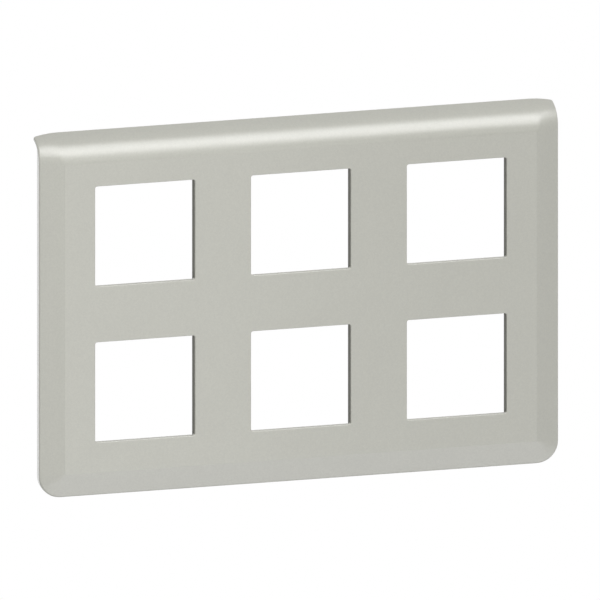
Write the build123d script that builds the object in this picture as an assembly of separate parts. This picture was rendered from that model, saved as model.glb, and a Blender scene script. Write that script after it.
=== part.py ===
from build123d import *

import os
from math import acos, cos, radians, sin

# Cover plate for six square wiring modules, two rows of three, moulded as one plastic sheet.
# It stands upright with its front facing -Y. The wall is the plane Y = 0, and the origin lies on
# the wall, level with the middle of the window grid. Depths are measured back from the flat field
# at the front. All lengths are in millimetres and all angles in degrees.

# Window grid
columns = 3
rows = 2
gang_pitch = 71.0
window_size = 45.5
window_corner_radius = 1.0
window_edge_round = 0.4

# Flat field, and the border that slopes back from it at the sides and along the bottom
field_margin = 13.75
border_side = 10.75
border_bottom = 11.25
border_drop = 4.0
facet_corner_radius = 1.0
outline_corner_radius = 9.75
edge_round = 1.0

# Sheet and rim
sheet = 2.0
rim_wall = 2.0
rim_depth = 7.7

# Top edge rolled back to the wall: a tight arc, then a slack one that ends on the wall
overall_depth = 13.5
top_margin = 22.3
roll_radius_middle = 10.0
roll_radius_end = 9.0
roll_end_drop = 1.45
roll_end_sheet = 1.4
roll_turn = 63.0
roll_rear_turn = 80.0

# Ribs behind the windows
rib_wall = 1.6
rib_depth = 5.2
rib_overrun = 4.0

# Clip fingers above and below each window, which grip the edge of a mounting frame
clip_width = 7.0
clip_wall = 1.4
clip_spacing = 26.0
clip_gap = 6.0
clip_depth = 11.5
clip_grip_depth = 9.0
clip_nose = 1.0

# Places that follow from the sizes above
window_half = window_size / 2
column_places = [gang_pitch * (i - (columns - 1) / 2) for i in range(columns)]
row_places = [gang_pitch * (i - (rows - 1) / 2) for i in range(rows)]
windows = [(x, z) for x in column_places for z in row_places]
grid_half_width = column_places[-1] + window_half
grid_half_height = row_places[-1] + window_half
field_half_width = grid_half_width + field_margin
field_bottom = -grid_half_height - field_margin
plate_half_width = field_half_width + border_side
plate_bottom = field_bottom - border_bottom
plate_top = grid_half_height + top_margin
# The lower shell and the rolled top meet just above the windows.
seam_height = grid_half_height + window_corner_radius
# A rounded edge takes at most this share of the wall it is on.
round_share = 0.75
# Ribs and fingers are rooted this deep, inside the sheet.
root_depth = sheet / 2


def front_plane(depth):
    """The plane parallel to the field at this depth, drawn in X and Z and facing forward."""
    return Plane(origin=(0, depth - overall_depth, 0), x_dir=(1, 0, 0), z_dir=(0, -1, 0))


def section_plane(x):
    """The upright plane across the plate at this X, drawn in depth and Z."""
    return Plane(origin=(x, -overall_depth, 0), x_dir=(0, 1, 0), z_dir=(1, 0, 0))


def outline(half_width, bottom, corner_radius, top, depth):
    """A plate outline at one depth, square at the top and rounded at its two bottom corners."""
    left_top, left_bottom = (-half_width, top), (-half_width, bottom)
    right_bottom, right_top = (half_width, bottom), (half_width, top)
    face = make_face(Polyline(left_top, left_bottom, right_bottom, right_top, close=True))
    corners = face.vertices().group_by(Axis.Y)[0]
    return front_plane(depth) * fillet(corners, corner_radius)


def lower_shell():
    """The field, its sloping border and the rim below the seam, open at the back and the top."""
    field = outline(field_half_width, field_bottom, facet_corner_radius, seam_height, 0)
    edge = outline(plate_half_width, plate_bottom, outline_corner_radius, seam_height, border_drop)
    outside = loft([field, edge], ruled=True)
    outside += extrude(edge, amount=border_drop - rim_depth)

    above_seam = seam_height + sheet
    inner_field = outline(field_half_width, field_bottom, facet_corner_radius, above_seam, sheet)
    inner_edge = outline(
        plate_half_width - rim_wall,
        plate_bottom + rim_wall,
        outline_corner_radius - rim_wall,
        above_seam,
        sheet + border_drop * (1 - rim_wall / border_side),
    )
    hollow = loft([inner_field, inner_edge], ruled=True)
    hollow += extrude(inner_edge, amount=-overall_depth)
    return outside - hollow


class RollSection:
    """A cut across the rolled sheet: share is 0 where the field ends and 1 at the plate's end."""

    def __init__(self, share):
        self.front = border_drop * share
        self.sheet = sheet + (roll_end_sheet - sheet) * share
        self.radius = roll_radius_middle + (roll_radius_end - roll_radius_middle) * share
        self.turn = radians(roll_turn)
        rear_turn = radians(roll_rear_turn)
        slack_reach = overall_depth - self.front - self.radius * (1 - cos(self.turn))
        self.slack_radius = slack_reach / (cos(self.turn) - cos(rear_turn))
        slack_rise = self.slack_radius * (sin(rear_turn) - sin(self.turn))
        self.slack_centre_behind_wall = self.slack_radius * cos(rear_turn)
        # The drop starts level, so the rear edge has no crease where the border begins.
        self.top = plate_top - roll_end_drop * share**2
        self.spring = self.top - slack_rise - self.radius * sin(self.turn)

    def tight(self, angle, inset):
        """The point on the tight arc at this turn, this far inside the outer face."""
        reach = self.radius - inset
        return (self.front + self.radius - reach * cos(angle), self.spring + reach * sin(angle))

    def slack(self, angle, inset):
        """The point on the slack arc at this turn, this far inside the outer face."""
        reach = self.slack_radius - inset
        centre_drop = (self.slack_radius - self.radius) * sin(self.turn)
        depth = overall_depth + self.slack_centre_behind_wall - reach * cos(angle)
        return (depth, self.spring - centre_drop + reach * sin(angle))

    def curve(self, inset):
        """The line from the seam to the wall: an upright run, the tight arc and the slack arc."""
        last = acos(self.slack_centre_behind_wall / (self.slack_radius - inset))
        halfway = (self.turn + last) / 2
        run = Line((self.front + inset, seam_height), self.tight(0, inset))
        tight = ThreePointArc(run @ 1, self.tight(self.turn / 2, inset), self.tight(self.turn, inset))
        slack = ThreePointArc(tight @ 1, self.slack(halfway, inset), self.slack(last, inset))
        return [run, tight, slack]

    def sheet_face(self, x):
        """The cut face of the sheet, at this X."""
        outer = self.curve(0)
        inner = self.curve(self.sheet)
        rear = Line(outer[-1] @ 1, inner[-1] @ 1)
        foot = Line(outer[0] @ 0, inner[0] @ 0)
        return section_plane(x) * make_face([*outer, rear, *inner, foot])

    def filled_face(self, x):
        """All that lies between the middle of the sheet and the wall, at this X."""
        middle = self.curve(self.sheet / 2)
        corner = (overall_depth, seam_height)
        rear = Line(middle[-1] @ 1, corner)
        foot = Line(corner, middle[0] @ 0)
        return section_plane(x) * make_face([*middle, rear, foot])


def rolled_top():
    """The rolled sheet above the seam: a straight middle, and two ends drawn down to the border."""
    top = extrude(RollSection(0).sheet_face(-field_half_width), amount=2 * field_half_width)
    for side in (-1, 1):
        places = [(share, side * (field_half_width + border_side * share)) for share in (0, 0.5, 1)]
        top += loft([RollSection(share).sheet_face(x) for share, x in places])
    return top


def rim_cheek(side):
    """The rim's side wall carried on above the seam until it meets the inside of the roll."""
    face = RollSection(1).filled_face(side * plate_half_width)
    block = extrude(face, amount=-side * rim_wall)
    return split(block, bisect_by=front_plane(rim_depth), keep=Keep.TOP)


def is_outer_edge(edge):
    """Whether an edge runs where the border meets the rim, or round the end of the roll."""
    near = 0.01
    spot = edge @ 0.5
    depth = spot.Y + overall_depth
    if spot.Z < seam_height:
        inside_x = plate_half_width - outline_corner_radius - near
        inside_z = plate_bottom + outline_corner_radius + near
        at_rim = abs(spot.X) > inside_x or spot.Z < inside_z
        return at_rim and abs(depth - border_drop) < near
    at_end = abs(abs(spot.X) - plate_half_width) < near
    place = Vector(depth, spot.Z)
    return at_end and min(line.distance_to(place) for line in RollSection(1).curve(0)) < near


def window_cuts():
    """The blocks that open the windows."""
    square = RectangleRounded(window_size, window_size, window_corner_radius)
    places = front_plane(-sheet) * Locations(*windows)
    return [extrude(place * square, amount=-(overall_depth + sheet)) for place in places]


def ribs():
    """Upright ribs flush with the sides of the windows, tied by level ribs clear of them."""
    height = rib_depth - root_depth
    long_z = 2 * (grid_half_height + rib_overrun)
    long_x = 2 * (grid_half_width + rib_wall)
    end_z = grid_half_height + rib_overrun - rib_wall / 2
    edge_x = window_half + rib_wall / 2
    upright = [(x + side * edge_x, 0) for x in column_places for side in (-1, 1)]
    level = [(0, -end_z), (0, 0), (0, end_z)]
    plane = front_plane(root_depth)
    bars = [extrude(plane * Pos(*p) * Rectangle(rib_wall, long_z), amount=-height) for p in upright]
    bars += [extrude(plane * Pos(*p) * Rectangle(long_x, rib_wall), amount=-height) for p in level]
    return bars


def clips():
    """Fingers in pairs above and below each window, with a nose on the side facing the window."""
    made = []
    for x, z in windows:
        for up in (-1, 1):
            root = z + up * (window_half + clip_gap)
            nose = root - up * clip_nose
            back = root + up * clip_wall
            profile = Polyline(
                (root_depth, root),
                (clip_grip_depth, root),
                (clip_grip_depth, nose),
                (clip_depth, root),
                (clip_depth, back),
                (root_depth, back),
                close=True,
            )
            for side in (-1, 1):
                start = x + side * clip_spacing / 2 - clip_width / 2
                made.append(extrude(section_plane(start) * make_face(profile), amount=clip_width))
    return made


def cover_plate():
    """The whole moulding."""
    plate = lower_shell() + rolled_top() + [rim_cheek(side) for side in (-1, 1)]
    outer_edges = [edge for edge in plate.edges() if is_outer_edge(edge)]
    plate = fillet(outer_edges, min(edge_round, round_share * min(sheet, roll_end_sheet)))
    plate -= window_cuts()
    field_face = plate.faces().sort_by(Axis.Y)[0]
    window_edges = [edge for wire in field_face.inner_wires() for edge in wire.edges()]
    plate = fillet(window_edges, min(window_edge_round, round_share * sheet))
    return plate + ribs() + clips()


if __name__ == "__main__":
    os.makedirs("parts", exist_ok=True)
    export_step(cover_plate(), "parts/cover_plate.step")
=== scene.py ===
from math import cos, pi, radians, sin

import bpy
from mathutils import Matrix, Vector


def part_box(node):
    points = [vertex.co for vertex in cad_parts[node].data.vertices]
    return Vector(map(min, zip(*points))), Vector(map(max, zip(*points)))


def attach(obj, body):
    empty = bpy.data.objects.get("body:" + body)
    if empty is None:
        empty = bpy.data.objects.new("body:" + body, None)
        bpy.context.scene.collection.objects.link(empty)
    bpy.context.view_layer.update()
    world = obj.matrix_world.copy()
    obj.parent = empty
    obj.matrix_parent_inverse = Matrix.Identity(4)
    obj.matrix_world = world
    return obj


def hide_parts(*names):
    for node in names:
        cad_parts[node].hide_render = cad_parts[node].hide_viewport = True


# A wall plate for square wiring modules, seen from the upper left on white.
# Everything is in metres, in the plate's own frame: X to the right, Z up, the front facing -Y and the
# wall at Y = 0. Angles are in degrees. An azimuth of 0 is straight in front of the plate and one below 0
# is to its left, and elevation is measured up from level.

MM = 0.001
WHITE = (1, 1, 1, 1)

# Camera: a parallel view of the middle of the front, with a small shift
VIEW_AZIMUTH = -15.22
VIEW_ELEVATION = 15.22
VIEW_WIDTH = 263.75 * MM
VIEW_SHIFT_RIGHT = -0.51 * MM
VIEW_SHIFT_UP = 0.02 * MM
CAMERA_DISTANCE = 1.0

# Floor: well below the plate and out of the picture. Its middle, up to the plain share of its radius, is
# seen with the white share of plain white mixed in, and from there it fades to all white at its edge.
FLOOR_HEIGHT = -1.0
FLOOR_RADIUS = 2.5
FLOOR_SIDES = 96
FLOOR_COLOUR = (0.85, 0.85, 0.85, 1)
FLOOR_PLAIN_SHARE = 0.6
FLOOR_WHITE_SHARE = 0.6

# Card: a pale panel close to the left half of the field
CARD_SIZE = (0.4, 0.6)
CARD_PLACE = (-0.156, -0.1735, -0.045)

# Plate: the edge of its flat field, the zone of the windows with their ribs and clip fingers, and its wall
FIELD_HALF_WIDTH = 107.5 * MM
FIELD_BOTTOM = -72.0 * MM
CREASE_CORNER = 1.0 * MM
INNER_HALF_WIDTH = 100.0 * MM
INNER_HALF_HEIGHT = 68.0 * MM
WINDOW_EDGE_ROUND = 0.4 * MM
SHEET = 2.0 * MM

# Mesh: what counts as one point or one plane, and how rounds and flats are shaded
MERGE_DISTANCE = 0.001 * MM
PLACE_TOLERANCE = 0.02 * MM
SMOOTH_ANGLE = 50
LARGE_FACE_WEIGHT = 100

# Finishes: their places in the plate's list of materials, and the limits that tell its faces apart
SATIN = 0
RIM = 1
PLASTIC_AND_SHADE = 2
SILL_LEAST_RISE = 0.7
RIM_MOST_RISE = 0.1
LEAN_TOLERANCE = 0.02
INWARD_MARGIN = 1.0 * MM

# Front paint: pearl flakes in a satin lacquer, with the soft unevenness of a sprayed coat
PAINT_COLOUR = (0.53, 0.53, 0.46)
PAINT_ROUGHNESS = (0.35, 0.43)
PEARL_INDEX = 2.6
FLAKE_SIZE = 0.62 * MM
FLAKE_CONTRAST = 0.045
CLOUD_SIZE = 18 * MM
CLOUD_CONTRAST = 0.012
SPRAY_GRAIN = 1.3 * MM
SPRAY_RELIEF = 0.005 * MM

# Rim paint: the same flakes, smoother and more metallic, under a clear lacquer
RIM_COLOUR = (0.57, 0.575, 0.56)
RIM_ROUGHNESS = (0.26, 0.34)
RIM_METALLIC = 0.9
LACQUER_ROUGHNESS = 0.2

# Bare plastic: the moulding's own colour with a fine eroded grain, also used dark on the window sides as
# painted shade, and the depth over which that painted shade darkens from the paint's colour into the windows
PLASTIC_AND_SHADE_COLOUR = (0.185, 0.185, 0.158)
PLASTIC_CONTRAST = 0.06
PLASTIC_ROUGHNESS = (0.5, 0.64)
PLASTIC_SPECULAR = 0.3
MOULD_GRAIN = 0.5 * MM
MOULD_RELIEF = 0.012 * MM
WINDOW_SHADE_DEPTH = 2.5 * MM

# Noise values lie mostly between these two
NOISE_LOW = 0.3
NOISE_HIGH = 0.7


def outward(azimuth, elevation):
    """The direction out from the plate at this azimuth and elevation."""
    turn = radians(azimuth)
    rise = radians(elevation)
    return Vector((sin(turn) * cos(rise), -cos(turn) * cos(rise), sin(rise)))


def aim(thing, direction):
    """Turn a camera or a lamp to look this way, upright."""
    thing.rotation_euler = direction.to_track_quat("-Z", "Y").to_euler()


def add_camera(front):
    """A parallel camera that sees the plate from the left and from above."""
    into = -outward(VIEW_AZIMUTH, VIEW_ELEVATION)
    right = into.cross(Vector((0, 0, 1))).normalized()
    up = right.cross(into)
    target = Vector((0, front, 0)) + VIEW_SHIFT_RIGHT * right + VIEW_SHIFT_UP * up
    data = bpy.data.cameras.new("camera")
    data.type = "ORTHO"
    data.ortho_scale = VIEW_WIDTH
    camera = bpy.data.objects.new("camera", data)
    bpy.context.scene.collection.objects.link(camera)
    camera.location = target - CAMERA_DISTANCE * into
    aim(camera, into)
    bpy.context.scene.camera = camera


def add_lamp(name, size, strength):
    """A rectangular lamp whose strength is the brightness of its face."""
    width, height = size
    data = bpy.data.lights.new(name, "AREA")
    data.shape = "RECTANGLE"
    data.size = width
    data.size_y = height
    data.energy = pi * strength * width * height
    lamp = bpy.data.objects.new(name, data)
    lamp.visible_camera = False
    bpy.context.scene.collection.objects.link(lamp)
    return lamp


def add_soft_box(name, azimuth, elevation, distance, size, strength, in_sheen=True):
    """A lamp in this direction from the plate, turned to face it, and mirrored in its sheen or not."""
    lamp = add_lamp(name, size, strength)
    direction = outward(azimuth, elevation)
    lamp.location = distance * direction
    aim(lamp, -direction)
    lamp.visible_glossy = in_sheen


def add_card(strength):
    """A pale card in front of the left half of the plate, seen in its sheen alone."""
    card = add_lamp("card", CARD_SIZE, strength)
    card.location = CARD_PLACE
    aim(card, Vector((0, 1, 0)))
    card.visible_diffuse = False


def add_lights():
    """A broad light overhead, smaller ones on the other sides, and the card."""
    add_soft_box("overhead", azimuth=5, elevation=55, distance=1.5, size=(2.4, 1.34), strength=1.95)
    add_soft_box("right", azimuth=66, elevation=42, distance=1.5, size=(1.0, 0.5), strength=0.6)
    add_soft_box("below", azimuth=28, elevation=-50, distance=0.95, size=(1.6, 0.6), strength=0.82)
    add_soft_box("front", azimuth=13, elevation=-17, distance=1.8, size=(1.0, 1.0), strength=0.22)
    add_soft_box(
        "left", azimuth=-60, elevation=0, distance=0.7, size=(0.37, 0.47), strength=1.36, in_sheen=False
    )
    add_soft_box(
        "back", azimuth=150, elevation=-12, distance=1.5, size=(1.6, 1.3), strength=3.0, in_sheen=False
    )
    add_card(strength=0.21)


def add_node(tree, kind, inputs=None, **settings):
    """A new node with its settings made and its inputs filled with values or linked to other nodes."""
    node = tree.nodes.new(kind)
    for name, value in settings.items():
        setattr(node, name, value)
    for name, value in (inputs or {}).items():
        if isinstance(value, bpy.types.NodeSocket):
            tree.links.new(value, node.inputs[name])
        else:
            node.inputs[name].default_value = value
    return node


def add_seen(tree):
    """One for what the camera sees, by itself or in a reflection, and zero for light on its way."""
    rays = add_node(tree, "ShaderNodeLightPath").outputs
    seen = rays["Is Camera Ray"]
    for name in ("Is Glossy Ray", "Is Transmission Ray"):
        either = add_node(tree, "ShaderNodeMath", {0: seen, 1: rays[name]}, operation="MAXIMUM")
        seen = either.outputs["Value"]
    return seen


def add_world(ambient):
    """Even soft light all round, seen as plain white by the camera and in reflections."""
    world = bpy.data.worlds.new("studio")
    bpy.context.scene.world = world
    world.use_nodes = True
    tree = world.node_tree
    tree.nodes.clear()
    strength = add_node(tree, "ShaderNodeMix", {"Factor": add_seen(tree), "A": ambient, "B": 1.0})
    background = add_node(
        tree, "ShaderNodeBackground", {"Color": WHITE, "Strength": strength.outputs["Result"]}
    )
    add_node(tree, "ShaderNodeOutputWorld", {"Surface": background.outputs["Background"]})


def floor_finish():
    """Pale matt floor that keeps the plate's shadow and fades into the white background at its edge."""
    material = bpy.data.materials.new("pale_floor")
    material.use_nodes = True
    tree = material.node_tree
    tree.nodes.clear()
    place = add_node(tree, "ShaderNodeTexCoord").outputs["Object"]
    reach = add_node(tree, "ShaderNodeVectorMath", {0: place}, operation="LENGTH").outputs["Value"]
    fade = add_node(
        tree,
        "ShaderNodeMapRange",
        {
            "Value": reach,
            "From Min": FLOOR_PLAIN_SHARE * FLOOR_RADIUS,
            "From Max": FLOOR_RADIUS,
            "To Min": FLOOR_WHITE_SHARE,
        },
    )
    white_share = add_node(
        tree, "ShaderNodeMath", {0: fade.outputs["Result"], 1: add_seen(tree)}, operation="MULTIPLY"
    )
    matt = add_node(tree, "ShaderNodeBsdfDiffuse", {"Color": FLOOR_COLOUR})
    white = add_node(tree, "ShaderNodeEmission", {"Color": WHITE})
    mix = add_node(
        tree,
        "ShaderNodeMixShader",
        {"Fac": white_share.outputs["Value"], 1: matt.outputs["BSDF"], 2: white.outputs["Emission"]},
    )
    add_node(tree, "ShaderNodeOutputMaterial", {"Surface": mix.outputs["Shader"]})
    return material


def add_floor():
    """A round pale floor under the plate."""
    bpy.ops.mesh.primitive_circle_add(
        vertices=FLOOR_SIDES, radius=FLOOR_RADIUS, fill_type="NGON", location=(0, 0, FLOOR_HEIGHT)
    )
    floor = bpy.context.object
    floor.name = "floor"
    floor.data.materials.append(floor_finish())


def new_finish(name):
    """A new material with its node tree, its shader and the place on the piece."""
    material = bpy.data.materials.new(name)
    material.use_nodes = True
    tree = material.node_tree
    place = add_node(tree, "ShaderNodeTexCoord").outputs["Object"]
    return material, tree, tree.nodes["Principled BSDF"], place


def add_noise(tree, place, size, low, high):
    """Noise with patches of this size, spread between two values."""
    noise = add_node(tree, "ShaderNodeTexNoise", {"Vector": place, "Scale": 1 / size})
    spread = add_node(
        tree,
        "ShaderNodeMapRange",
        {
            "Value": noise.outputs["Fac"],
            "From Min": NOISE_LOW,
            "From Max": NOISE_HIGH,
            "To Min": low,
            "To Max": high,
        },
    )
    return spread.outputs["Result"]


def add_relief(tree, shader, place, grain, relief):
    """Fine surface relief with this grain and height."""
    height = add_noise(tree, place, grain, 0.0, 1.0)
    bump = add_node(tree, "ShaderNodeBump", {"Height": height, "Distance": relief})
    tree.links.new(bump.outputs["Normal"], shader.inputs["Normal"])


def pearl_paint(name, colour, roughness):
    """Sprayed pearl paint: flakes of uneven brightness, a faint cloud and a softly uneven surface."""
    material, tree, shader, place = new_finish(name)
    flakes = add_node(tree, "ShaderNodeTexVoronoi", {"Vector": place, "Scale": 1 / FLAKE_SIZE})
    flake_tone = add_node(
        tree,
        "ShaderNodeMapRange",
        {"Value": flakes.outputs["Color"], "To Min": 1 - FLAKE_CONTRAST, "To Max": 1 + FLAKE_CONTRAST},
    )
    cloud_tone = add_noise(tree, place, CLOUD_SIZE, 1 - CLOUD_CONTRAST, 1 + CLOUD_CONTRAST)
    tone = add_node(
        tree, "ShaderNodeMath", {0: flake_tone.outputs["Result"], 1: cloud_tone}, operation="MULTIPLY"
    )
    tinted = add_node(
        tree, "ShaderNodeVectorMath", {0: colour, "Scale": tone.outputs["Value"]}, operation="SCALE"
    )
    tree.links.new(tinted.outputs["Vector"], shader.inputs["Base Color"])
    tree.links.new(add_noise(tree, place, SPRAY_GRAIN, *roughness), shader.inputs["Roughness"])
    shader.inputs["IOR"].default_value = PEARL_INDEX
    add_relief(tree, shader, place, SPRAY_GRAIN, SPRAY_RELIEF)
    return material, shader


def satin_paint():
    """The paint of the front."""
    material, _ = pearl_paint("satin_paint", PAINT_COLOUR, PAINT_ROUGHNESS)
    return material


def rim_paint():
    """The paint of the rim's outside, whose lacquer mirrors the background at a flat angle."""
    material, shader = pearl_paint("rim_paint", RIM_COLOUR, RIM_ROUGHNESS)
    shader.inputs["Metallic"].default_value = RIM_METALLIC
    shader.inputs["Coat Weight"].default_value = 1.0
    shader.inputs["Coat Roughness"].default_value = LACQUER_ROUGHNESS
    return material


def plastic_with_window_shade(front):
    """Moulded plastic that the paint doesn't cover; on the window sides it is painted shade, darkening from
    the paint's colour at the front into the windows.
    """
    material, tree, shader, place = new_finish("plastic_with_window_shade")
    tone = add_noise(tree, place, MOULD_GRAIN, 1 - PLASTIC_CONTRAST, 1 + PLASTIC_CONTRAST)
    grained = add_node(tree, "ShaderNodeVectorMath", {0: PLASTIC_AND_SHADE_COLOUR, "Scale": tone}, operation="SCALE")
    across = add_node(tree, "ShaderNodeSeparateXYZ", {"Vector": place}).outputs["Y"]
    # Painted shade: the colour darkens from the paint's at the front to the dark plastic deeper in the
    # windows
    depth = add_node(
        tree, "ShaderNodeMapRange", {"Value": across, "From Min": front, "From Max": front + WINDOW_SHADE_DEPTH}
    )
    painted_shade_tint = add_node(
        tree,
        "ShaderNodeMix",
        {"Factor": depth.outputs["Result"], "A": (*PAINT_COLOUR, 1), "B": grained.outputs["Vector"]},
        data_type="RGBA",
    )
    tree.links.new(painted_shade_tint.outputs["Result"], shader.inputs["Base Color"])
    tree.links.new(add_noise(tree, place, MOULD_GRAIN, *PLASTIC_ROUGHNESS), shader.inputs["Roughness"])
    shader.inputs["Specular IOR Level"].default_value = PLASTIC_SPECULAR
    add_relief(tree, shader, place, MOULD_GRAIN, MOULD_RELIEF)
    return material


def select_only(piece):
    """Make this the one selected object."""
    bpy.ops.object.select_all(action="DESELECT")
    bpy.context.view_layer.objects.active = piece
    piece.select_set(True)


def merged_copy(node, name):
    """A copy of a solid's mesh with its loose triangles merged and its stored normals dropped."""
    piece = bpy.data.objects.new(name, node.data.copy())
    bpy.context.scene.collection.objects.link(piece)
    select_only(piece)
    bpy.ops.object.mode_set(mode="EDIT")
    bpy.ops.mesh.select_all(action="SELECT")
    bpy.ops.mesh.remove_doubles(threshold=MERGE_DISTANCE)
    bpy.ops.mesh.customdata_custom_splitnormals_clear()
    bpy.ops.object.mode_set(mode="OBJECT")
    return piece


def on_crease(place, front):
    """Whether a point of the front lies where the flat field meets the sloping border."""
    if abs(place.y - front) > PLACE_TOLERANCE:
        return False
    near = CREASE_CORNER + PLACE_TOLERANCE
    return FIELD_HALF_WIDTH - abs(place.x) < near or place.z - FIELD_BOTTOM < near


def shade_plate(plate, front):
    """Smooth rounds, flat flats, and a sharp crease along the edge of the field."""
    select_only(plate)
    bpy.ops.object.shade_smooth_by_angle(angle=radians(SMOOTH_ANGLE))
    mesh = plate.data
    crease = {vertex.index for vertex in mesh.vertices if on_crease(vertex.co, front)}
    for edge in mesh.edges:
        if crease.issuperset(edge.vertices):
            edge.use_edge_sharp = True
    weighted = plate.modifiers.new("even_flats", "WEIGHTED_NORMAL")
    weighted.keep_sharp = True
    weighted.weight = LARGE_FACE_WEIGHT
    bpy.ops.object.modifier_apply(modifier=weighted.name)


def finish_of(face, front):
    """Satin for the front with the window sills and edges, rim for the rim's outside, bare plastic for the
    rest, which puts dark plastic on the window sides as painted shade.
    """
    place = face.center
    normal = face.normal
    depth = place.y - front
    if abs(place.x) < INNER_HALF_WIDTH and abs(place.z) < INNER_HALF_HEIGHT:
        # Painted shade: the window sides get the dark plastic, and only the sills that face up keep the
        # paint
        is_sill = normal.z > SILL_LEAST_RISE and depth < SHEET
        return SATIN if is_sill or depth < WINDOW_EDGE_ROUND else PLASTIC_AND_SHADE
    looks_back = normal.y > LEAN_TOLERANCE
    looks_inward = normal.x * place.x + normal.z * place.z < -INWARD_MARGIN
    if looks_back or looks_inward:
        return PLASTIC_AND_SHADE
    is_rim = abs(normal.y) < LEAN_TOLERANCE and normal.z < RIM_MOST_RISE
    return RIM if is_rim else SATIN


def finish_plate(plate, front):
    """Give the plate its three finishes, in the order of their numbers, and each face its own."""
    mesh = plate.data
    mesh.materials.clear()
    for finish in (satin_paint(), rim_paint(), plastic_with_window_shade(front)):
        mesh.materials.append(finish)
    for face in mesh.polygons:
        face.material_index = finish_of(face, front)


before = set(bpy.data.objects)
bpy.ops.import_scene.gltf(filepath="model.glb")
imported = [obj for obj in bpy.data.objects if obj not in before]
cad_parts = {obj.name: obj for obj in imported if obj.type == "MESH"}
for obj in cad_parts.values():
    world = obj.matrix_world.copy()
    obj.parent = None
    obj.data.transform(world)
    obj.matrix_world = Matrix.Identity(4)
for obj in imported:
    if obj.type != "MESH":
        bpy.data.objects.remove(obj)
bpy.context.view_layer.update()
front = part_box("cover_plate")[0].y

bpy.context.scene.view_settings.view_transform = "Standard"
add_camera(front)
add_world(ambient=0.02)
add_floor()
add_lights()

plate = merged_copy(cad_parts["cover_plate"], "plate")
shade_plate(plate, front)
finish_plate(plate, front)
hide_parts("cover_plate")
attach(plate, "root")
